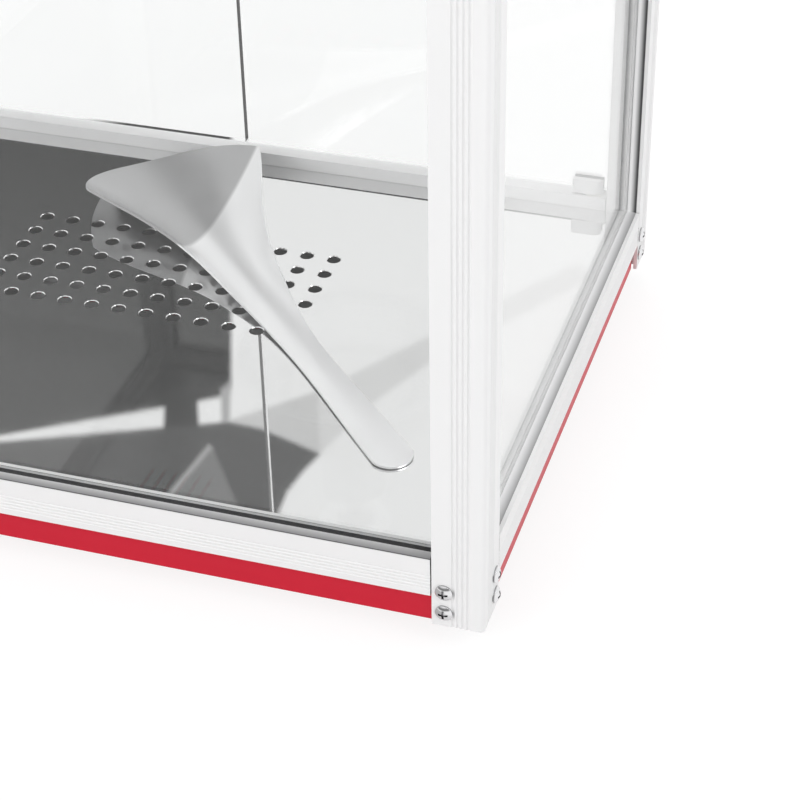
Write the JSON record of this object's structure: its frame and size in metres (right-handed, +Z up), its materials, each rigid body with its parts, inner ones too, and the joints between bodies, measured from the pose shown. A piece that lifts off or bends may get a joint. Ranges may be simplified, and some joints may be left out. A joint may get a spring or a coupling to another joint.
{
  "type": "chip warmer display cabinet",
  "caption": "Countertop glass display warmer on white corner posts: red base and hood, perforated mirror deck, heat lamp, rear doors, crumb drawer and loose scoop.",
  "frame": {"origin": "bottom centre of the whole cabinet: on the surface it stands on, midway between its sides and midway between its front screws and its door knobs", "axes": "+X to the right seen from the front, +Y to the rear doors, +Z up"},
  "size_m": [0.4928, 0.3759, 0.5456],
  "materials": {
    "white_frame": "satin white powder coat on extruded aluminium",
    "red_enamel": "gloss red powder coat on sheet steel",
    "clear_glass": "clear toughened glass",
    "grey_rubber": "grey glazing rubber",
    "polished_steel": "mirror-polished stainless sheet",
    "satin_steel": "satin stainless sheet",
    "chrome": "bright chrome plate",
    "white_casting": "satin white powder coat on die-cast zinc",
    "black_rubber": "moulded black rubber",
    "black_plastic": "fine-textured black moulding",
    "white_plastic": "moulded nylon",
    "dial_aluminium": "printed satin disc",
    "steel_shaft": "turned steel",
    "brass": "plated contact blades",
    "amber_lens": "translucent amber lens",
    "porcelain": "glazed porcelain",
    "lamp_glass": "frosted and silvered bulb glass",
    "spun_aluminium": "spun and polished",
    "scoop_aluminium": "satin pressed sheet"
  },
  "bodies": {
    "cabinet": {"base_tray": "red_enamel", "ceiling_plate": "satin_steel", "control_panel": "red_enamel", "deck_plate": "polished_steel", "dial_plate": "dial_aluminium", "door_catch": "black_plastic", "drawer_runners": "satin_steel", "feet": "black_rubber", "floor_heater": "satin_steel", "frame_screws": "chrome", "gasket_front": "grey_rubber", "gaskets_side": "grey_rubber", "glass_front": "clear_glass", "glass_left": "clear_glass", "glass_right": "clear_glass", "heater_saddles": "porcelain", "indicator_lens": "amber_lens", "inlet_pins": "brass", "joint_plates": "satin_steel", "lamp_bulb": "lamp_glass", "lamp_hanger": "chrome", "lamp_shade": "spun_aluminium", "lamp_socket": "porcelain", "lid": "red_enamel", "panel_screws": "chrome", "pivot_bushes": "white_plastic", "post_front_left": "white_frame", "post_front_right": "white_frame", "post_rear_left": "white_frame", "post_rear_right": "white_frame", "power_inlet": "black_plastic", "rail_front_lower": "white_frame", "rail_front_upper": "white_frame", "rail_left_lower": "white_frame", "rail_left_upper": "white_frame", "rail_rear_lower": "white_frame", "rail_rear_upper": "white_frame", "rail_right_lower": "white_frame", "rail_right_upper": "white_frame", "slot_covers": "white_frame", "switch_frames": "black_plastic", "terminal_block": "white_plastic", "thermostat_body": "black_plastic", "top_panel_front": "red_enamel", "top_panel_left": "red_enamel", "top_panel_right": "red_enamel"},
    "door_right": {"door_glass_right": "clear_glass", "door_knob_right": "chrome", "door_fittings_right": "white_casting"},
    "door_left": {"door_glass_left": "clear_glass", "door_knob_left": "chrome", "door_fittings_left": "white_casting"},
    "drawer": {"crumb_drawer": "satin_steel", "drawer_front": "red_enamel", "drawer_pull": "chrome"},
    "thermostat": {"thermostat_knob": "black_plastic", "thermostat_shaft": "steel_shaft"},
    "rocker_power": {"switch_rocker_power": "black_plastic"},
    "rocker_lamp": {"switch_rocker_lamp": "black_plastic"},
    "scoop": {"scoop": "scoop_aluminium"}
  },
  "joints": [
    {"name": "door_right_hinge", "type": "hinge", "parent": "cabinet", "child": "door_right", "pos_m": [0.211, 0.1615, 0.24275], "axis": [0, 0, -1], "range_deg": [0, 100]},
    {"name": "door_left_hinge", "type": "hinge", "parent": "cabinet", "child": "door_left", "pos_m": [-0.211, 0.1615, 0.24275], "axis": [0, 0, 1], "range_deg": [0, 100]},
    {"name": "drawer_slide", "type": "slide", "parent": "cabinet", "child": "drawer", "axis": [0, 1, 0], "range_m": [0, 0.15]},
    {"name": "thermostat_turn", "type": "hinge", "parent": "cabinet", "child": "thermostat", "pos_m": [-0.13, 0.1664, 0.4995], "axis": [0, -1, 0], "range_deg": [0, 270]},
    {"name": "power_rock", "type": "hinge", "parent": "cabinet", "child": "rocker_power", "pos_m": [-0.046, 0.1664, 0.4995], "axis": [1, 0, 0], "range_deg": [0, 15]},
    {"name": "lamp_rock", "type": "hinge", "parent": "cabinet", "child": "rocker_lamp", "pos_m": [-0.012, 0.1664, 0.4995], "axis": [1, 0, 0], "range_deg": [0, 15]},
    {"name": "scoop_lift", "type": "slide", "parent": "cabinet", "child": "scoop", "axis": [0, 0, 1], "range_m": [0, 0.12]}
  ]
}
